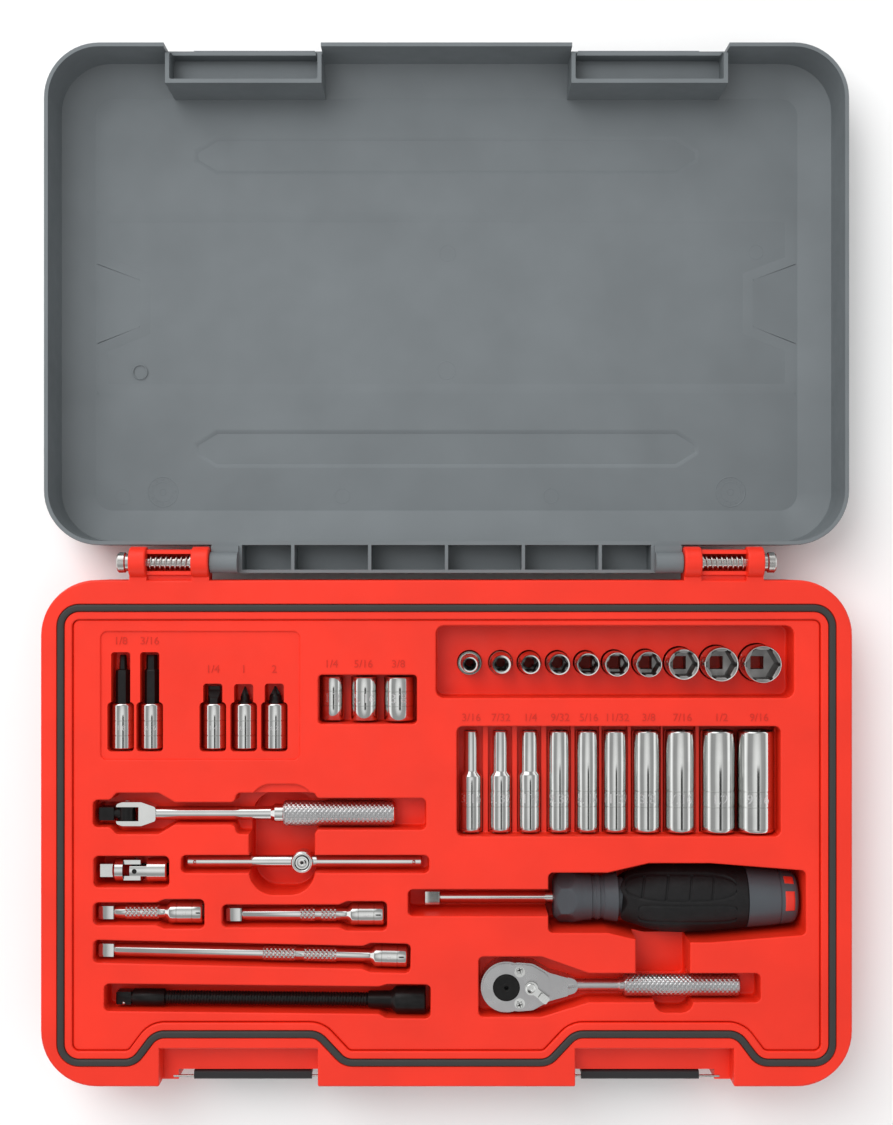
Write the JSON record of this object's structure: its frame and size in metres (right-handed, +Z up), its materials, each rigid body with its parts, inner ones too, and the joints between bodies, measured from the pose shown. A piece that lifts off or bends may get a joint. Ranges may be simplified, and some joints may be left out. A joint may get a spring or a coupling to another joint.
{
  "type": "socket wrench set in case",
  "caption": "Moulded tool case with a hinged lid, two latches and a fitted tray that holds quarter-inch drive sockets, bit sockets, extensions, a ratchet, bars and a spinner handle.",
  "frame": {"origin": "on the table, below the middle of the hinge line, with the case open flat", "axes": "+Z up; +X along the hinge, to the right of a person facing the open case; +Y from the base towards the open lid"},
  "size_m": [0.394, 0.509, 0.047],
  "materials": {
    "case_red": "fine moulded texture, bright orange-red",
    "tray_red": "fine moulded texture, bright orange-red",
    "seal_rubber": "smooth rubber cord",
    "lid_grey": "fine moulded texture, dark grey",
    "latch_black": "black moulded plastic",
    "pin_steel": "bright zinc plate",
    "chrome": "polished chrome plate",
    "black_oxide": "black oxide",
    "handle_grey": "satin grey plastic with red inserts",
    "grip_black": "soft textured grip"
  },
  "bodies": {
    "base": {"base_shell": "case_red", "tool_tray": "tray_red", "gasket_seal": "seal_rubber", "latch_and_handle_pins": "pin_steel", "hinge_spring_left": "pin_steel", "hinge_spring_right": "pin_steel"},
    "lid": {"lid_shell": "lid_grey"},
    "latch_left": {"latch_left": "latch_black"},
    "latch_right": {"latch_right": "latch_black"},
    "carry_handle": {"carry_handle": "latch_black"},
    "hinge_pin_left": {"hinge_pin_left": "pin_steel"},
    "hinge_pin_right": {"hinge_pin_right": "pin_steel"},
    "breaker_bar": {"breaker_handle": "chrome", "breaker_pin": "pin_steel"},
    "breaker_head": {"breaker_drive": "black_oxide"},
    "t_bar": {"sliding_bar": "chrome"},
    "t_bar_head": {"sliding_head": "chrome"},
    "universal_joint": {"universal_joint_female": "chrome"},
    "universal_joint_block": {"universal_joint_block": "black_oxide"},
    "universal_joint_male": {"universal_joint_male": "chrome"},
    "flexible_extension": {"flexible_extension": "black_oxide"},
    "spinner_handle": {"spinner_shaft": "chrome", "spinner_body": "handle_grey", "spinner_grip": "grip_black"},
    "ratchet": {"ratchet_handle": "chrome", "ratchet_cover": "chrome", "ratchet_screws": "chrome"},
    "ratchet_drive": {"ratchet_drive": "black_oxide"},
    "ratchet_lever": {"ratchet_lever": "chrome"},
    "socket_3_16": {"socket_3_16": "chrome"},
    "socket_7_32": {"socket_7_32": "chrome"},
    "socket_1_4": {"socket_1_4": "chrome"},
    "socket_9_32": {"socket_9_32": "chrome"},
    "socket_5_16": {"socket_5_16": "chrome"},
    "socket_11_32": {"socket_11_32": "chrome"},
    "socket_3_8": {"socket_3_8": "chrome"},
    "socket_7_16": {"socket_7_16": "chrome"},
    "socket_1_2": {"socket_1_2": "chrome"},
    "socket_9_16": {"socket_9_16": "chrome"},
    "deep_socket_3_16": {"deep_socket_3_16": "chrome"},
    "deep_socket_7_32": {"deep_socket_7_32": "chrome"},
    "deep_socket_1_4": {"deep_socket_1_4": "chrome"},
    "deep_socket_9_32": {"deep_socket_9_32": "chrome"},
    "deep_socket_5_16": {"deep_socket_5_16": "chrome"},
    "deep_socket_11_32": {"deep_socket_11_32": "chrome"},
    "deep_socket_3_8": {"deep_socket_3_8": "chrome"},
    "deep_socket_7_16": {"deep_socket_7_16": "chrome"},
    "deep_socket_1_2": {"deep_socket_1_2": "chrome"},
    "deep_socket_9_16": {"deep_socket_9_16": "chrome"},
    "spare_socket_1_4": {"spare_socket_1_4": "chrome"},
    "spare_socket_5_16": {"spare_socket_5_16": "chrome"},
    "spare_socket_3_8": {"spare_socket_3_8": "chrome"},
    "hex_bit_socket_small": {"hex_bit_socket_small": "chrome"},
    "hex_bit_socket_large": {"hex_bit_socket_large": "chrome"},
    "slotted_bit_socket": {"slotted_bit_socket": "chrome"},
    "phillips_bit_socket_1": {"phillips_bit_socket_1": "chrome"},
    "phillips_bit_socket_2": {"phillips_bit_socket_2": "chrome"},
    "extension_2_inch": {"extension_2_inch": "chrome"},
    "extension_3_inch": {"extension_3_inch": "chrome"},
    "extension_6_inch": {"extension_6_inch": "chrome"}
  },
  "joints": [
    {"name": "lid_hinge", "type": "hinge", "parent": "base", "child": "lid", "pos_m": [0, 0, 0.0392], "axis": [-1, 0, 0], "range_deg": [-180, 0]},
    {"name": "latch_left_swing", "type": "hinge", "parent": "base", "child": "latch_left", "pos_m": [0, -0.2531, 0.0296], "axis": [1, 0, 0], "range_deg": [-180, 0]},
    {"name": "latch_right_swing", "type": "hinge", "parent": "base", "child": "latch_right", "pos_m": [0, -0.2531, 0.0296], "axis": [1, 0, 0], "range_deg": [-180, 0]},
    {"name": "carry_handle_swing", "type": "hinge", "parent": "base", "child": "carry_handle", "pos_m": [0, -0.2502, 0.03], "axis": [-1, 0, 0], "range_deg": [0, 90]},
    {"name": "hinge_pin_left_pull", "type": "slide", "parent": "base", "child": "hinge_pin_left", "axis": [-1, 0, 0], "range_m": [0, 0.0112], "stiffness_N_per_m": 500, "springref_m": -0.004, "deforming": ["hinge_spring_left"]},
    {"name": "hinge_pin_right_pull", "type": "slide", "parent": "base", "child": "hinge_pin_right", "axis": [1, 0, 0], "range_m": [0, 0.0112], "stiffness_N_per_m": 500, "springref_m": -0.004, "deforming": ["hinge_spring_right"]},
    {"name": "breaker_head_swing", "type": "hinge", "parent": "breaker_bar", "child": "breaker_head", "pos_m": [-0.1566, -0.1228, 0.0336], "axis": [0, 1, 0], "range_deg": [-95, 95]},
    {"name": "t_bar_head_slide", "type": "slide", "parent": "t_bar", "child": "t_bar_head", "axis": [1, 0, 0], "range_m": [-0.018, 0]},
    {"name": "universal_joint_block_turn", "type": "hinge", "parent": "universal_joint", "child": "universal_joint_block", "pos_m": [-0.1522, -0.1506, 0.033], "axis": [0, 0, 1], "range_deg": [-7, 7]},
    {"name": "universal_joint_male_tilt", "type": "hinge", "parent": "universal_joint_block", "child": "universal_joint_male", "pos_m": [-0.1522, -0.1506, 0.033], "axis": [0, 1, 0], "range_deg": [-30, 30]},
    {"name": "ratchet_drive_spin", "type": "hinge", "parent": "ratchet", "child": "ratchet_drive", "pos_m": [0.0292, -0.2074, 0.032], "axis": [0, 0, 1], "continuous": true},
    {"name": "ratchet_lever_flip", "type": "hinge", "parent": "ratchet", "child": "ratchet_lever", "pos_m": [0.0414, -0.2074, 0.038], "axis": [0, 0, 1], "range_deg": [0, 76]},
    {"name": "breaker_bar_lift_out", "type": "slide", "parent": "base", "child": "breaker_bar", "axis": [0, 0, 1], "range_m": [0, 0.06]},
    {"name": "t_bar_lift_out", "type": "slide", "parent": "base", "child": "t_bar", "axis": [0, 0, 1], "range_m": [0, 0.06]},
    {"name": "universal_joint_lift_out", "type": "slide", "parent": "base", "child": "universal_joint", "axis": [0, 0, 1], "range_m": [0, 0.06]},
    {"name": "flexible_extension_lift_out", "type": "slide", "parent": "base", "child": "flexible_extension", "axis": [0, 0, 1], "range_m": [0, 0.06]},
    {"name": "spinner_handle_lift_out", "type": "slide", "parent": "base", "child": "spinner_handle", "axis": [0, 0, 1], "range_m": [0, 0.06]},
    {"name": "ratchet_lift_out", "type": "slide", "parent": "base", "child": "ratchet", "axis": [0, 0, 1], "range_m": [0, 0.06]},
    {"name": "socket_3_16_lift_out", "type": "slide", "parent": "base", "child": "socket_3_16", "axis": [0, 0, 1], "range_m": [0, 0.06]},
    {"name": "socket_7_32_lift_out", "type": "slide", "parent": "base", "child": "socket_7_32", "axis": [0, 0, 1], "range_m": [0, 0.06]},
    {"name": "socket_1_4_lift_out", "type": "slide", "parent": "base", "child": "socket_1_4", "axis": [0, 0, 1], "range_m": [0, 0.06]},
    {"name": "socket_9_32_lift_out", "type": "slide", "parent": "base", "child": "socket_9_32", "axis": [0, 0, 1], "range_m": [0, 0.06]},
    {"name": "socket_5_16_lift_out", "type": "slide", "parent": "base", "child": "socket_5_16", "axis": [0, 0, 1], "range_m": [0, 0.06]},
    {"name": "socket_11_32_lift_out", "type": "slide", "parent": "base", "child": "socket_11_32", "axis": [0, 0, 1], "range_m": [0, 0.06]},
    {"name": "socket_3_8_lift_out", "type": "slide", "parent": "base", "child": "socket_3_8", "axis": [0, 0, 1], "range_m": [0, 0.06]},
    {"name": "socket_7_16_lift_out", "type": "slide", "parent": "base", "child": "socket_7_16", "axis": [0, 0, 1], "range_m": [0, 0.06]},
    {"name": "socket_1_2_lift_out", "type": "slide", "parent": "base", "child": "socket_1_2", "axis": [0, 0, 1], "range_m": [0, 0.06]},
    {"name": "socket_9_16_lift_out", "type": "slide", "parent": "base", "child": "socket_9_16", "axis": [0, 0, 1], "range_m": [0, 0.06]},
    {"name": "deep_socket_3_16_lift_out", "type": "slide", "parent": "base", "child": "deep_socket_3_16", "axis": [0, 0, 1], "range_m": [0, 0.06]},
    {"name": "deep_socket_7_32_lift_out", "type": "slide", "parent": "base", "child": "deep_socket_7_32", "axis": [0, 0, 1], "range_m": [0, 0.06]},
    {"name": "deep_socket_1_4_lift_out", "type": "slide", "parent": "base", "child": "deep_socket_1_4", "axis": [0, 0, 1], "range_m": [0, 0.06]},
    {"name": "deep_socket_9_32_lift_out", "type": "slide", "parent": "base", "child": "deep_socket_9_32", "axis": [0, 0, 1], "range_m": [0, 0.06]},
    {"name": "deep_socket_5_16_lift_out", "type": "slide", "parent": "base", "child": "deep_socket_5_16", "axis": [0, 0, 1], "range_m": [0, 0.06]},
    {"name": "deep_socket_11_32_lift_out", "type": "slide", "parent": "base", "child": "deep_socket_11_32", "axis": [0, 0, 1], "range_m": [0, 0.06]},
    {"name": "deep_socket_3_8_lift_out", "type": "slide", "parent": "base", "child": "deep_socket_3_8", "axis": [0, 0, 1], "range_m": [0, 0.06]},
    {"name": "deep_socket_7_16_lift_out", "type": "slide", "parent": "base", "child": "deep_socket_7_16", "axis": [0, 0, 1], "range_m": [0, 0.06]},
    {"name": "deep_socket_1_2_lift_out", "type": "slide", "parent": "base", "child": "deep_socket_1_2", "axis": [0, 0, 1], "range_m": [0, 0.06]},
    {"name": "deep_socket_9_16_lift_out", "type": "slide", "parent": "base", "child": "deep_socket_9_16", "axis": [0, 0, 1], "range_m": [0, 0.06]},
    {"name": "spare_socket_1_4_lift_out", "type": "slide", "parent": "base", "child": "spare_socket_1_4", "axis": [0, 0, 1], "range_m": [0, 0.06]},
    {"name": "spare_socket_5_16_lift_out", "type": "slide", "parent": "base", "child": "spare_socket_5_16", "axis": [0, 0, 1], "range_m": [0, 0.06]},
    {"name": "spare_socket_3_8_lift_out", "type": "slide", "parent": "base", "child": "spare_socket_3_8", "axis": [0, 0, 1], "range_m": [0, 0.06]},
    {"name": "hex_bit_socket_small_lift_out", "type": "slide", "parent": "base", "child": "hex_bit_socket_small", "axis": [0, 0, 1], "range_m": [0, 0.06]},
    {"name": "hex_bit_socket_large_lift_out", "type": "slide", "parent": "base", "child": "hex_bit_socket_large", "axis": [0, 0, 1], "range_m": [0, 0.06]},
    {"name": "slotted_bit_socket_lift_out", "type": "slide", "parent": "base", "child": "slotted_bit_socket", "axis": [0, 0, 1], "range_m": [0, 0.06]},
    {"name": "phillips_bit_socket_1_lift_out", "type": "slide", "parent": "base", "child": "phillips_bit_socket_1", "axis": [0, 0, 1], "range_m": [0, 0.06]},
    {"name": "phillips_bit_socket_2_lift_out", "type": "slide", "parent": "base", "child": "phillips_bit_socket_2", "axis": [0, 0, 1], "range_m": [0, 0.06]},
    {"name": "extension_2_inch_lift_out", "type": "slide", "parent": "base", "child": "extension_2_inch", "axis": [0, 0, 1], "range_m": [0, 0.06]},
    {"name": "extension_3_inch_lift_out", "type": "slide", "parent": "base", "child": "extension_3_inch", "axis": [0, 0, 1], "range_m": [0, 0.06]},
    {"name": "extension_6_inch_lift_out", "type": "slide", "parent": "base", "child": "extension_6_inch", "axis": [0, 0, 1], "range_m": [0, 0.06]}
  ]
}
